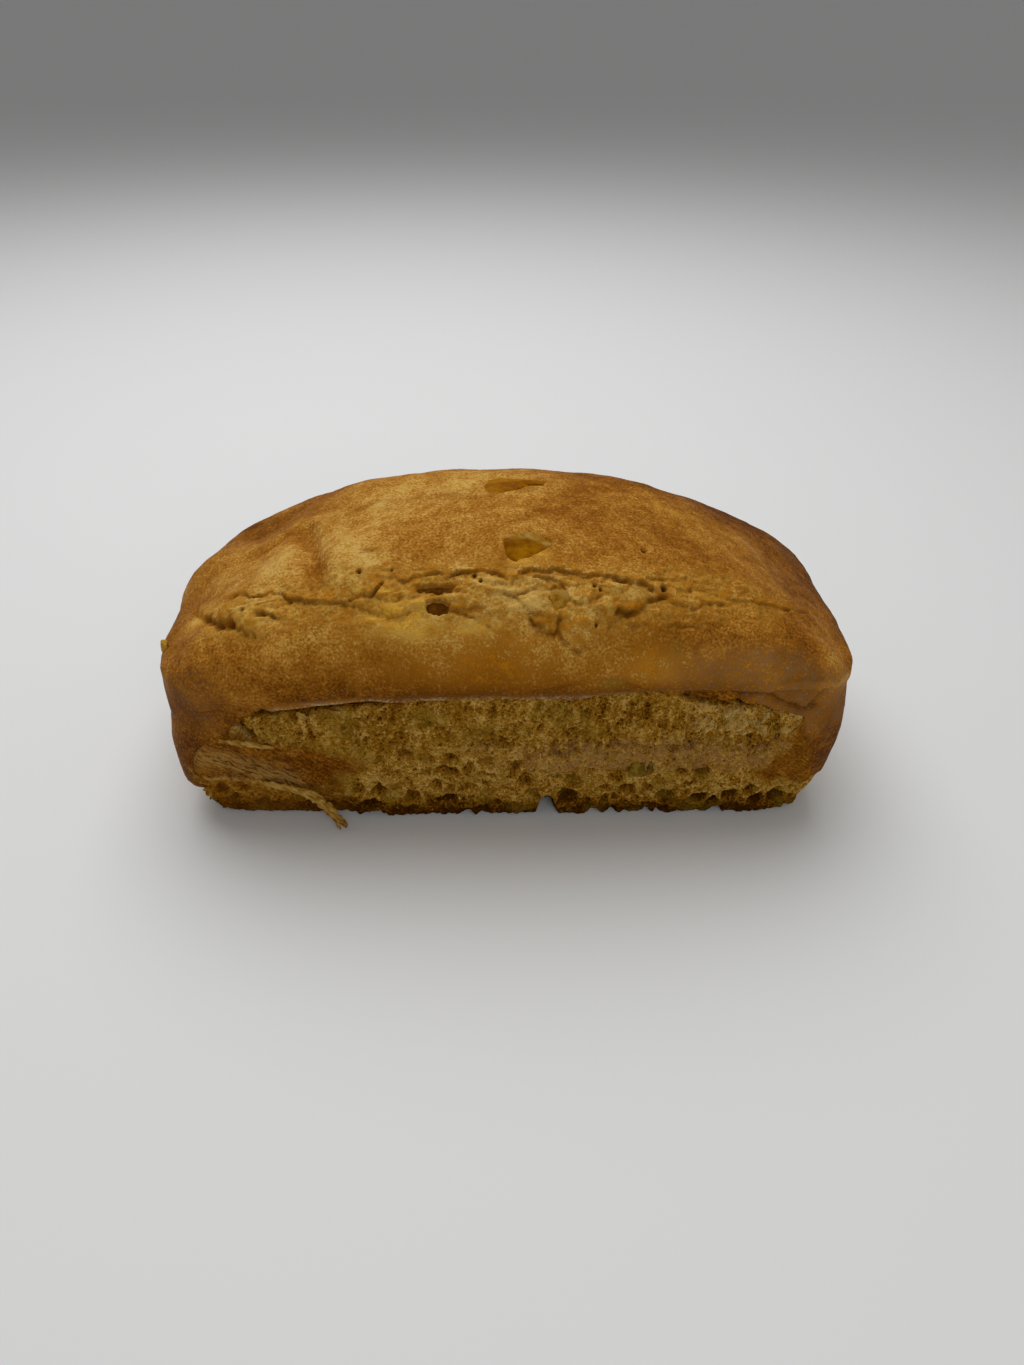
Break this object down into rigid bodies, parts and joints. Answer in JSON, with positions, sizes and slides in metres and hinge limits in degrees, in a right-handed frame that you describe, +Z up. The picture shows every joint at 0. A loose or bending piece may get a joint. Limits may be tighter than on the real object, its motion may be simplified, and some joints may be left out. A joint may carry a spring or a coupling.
{
  "type": "stollen loaf",
  "caption": "Small tin-baked stollen: domed golden crust with a craggy fold along the front, a torn crumb side below the lip and candied fruit pressed into the top",
  "frame": {"origin": "centre of the footprint's bounding box, on the table", "axes": "+X along the loaf, to the right as seen from its torn side; +Y away from the torn side; +Z up"},
  "size_m": [0.1804, 0.09, 0.0785],
  "materials": {
    "crust": "baked golden-brown crust, fine-grained, with pale torn crumb on the front",
    "peel": "translucent candied peel",
    "sultana": "amber sultana",
    "raisin": "dark wrinkled raisin",
    "citron": "olive candied citron"
  },
  "bodies": {
    "root": {"loaf": "crust", "peel_top": "peel", "sultana_crest": "sultana", "raisin_upper": "raisin", "raisin_lower": "raisin", "citron_wall": "citron"}
  },
  "joints": []
}
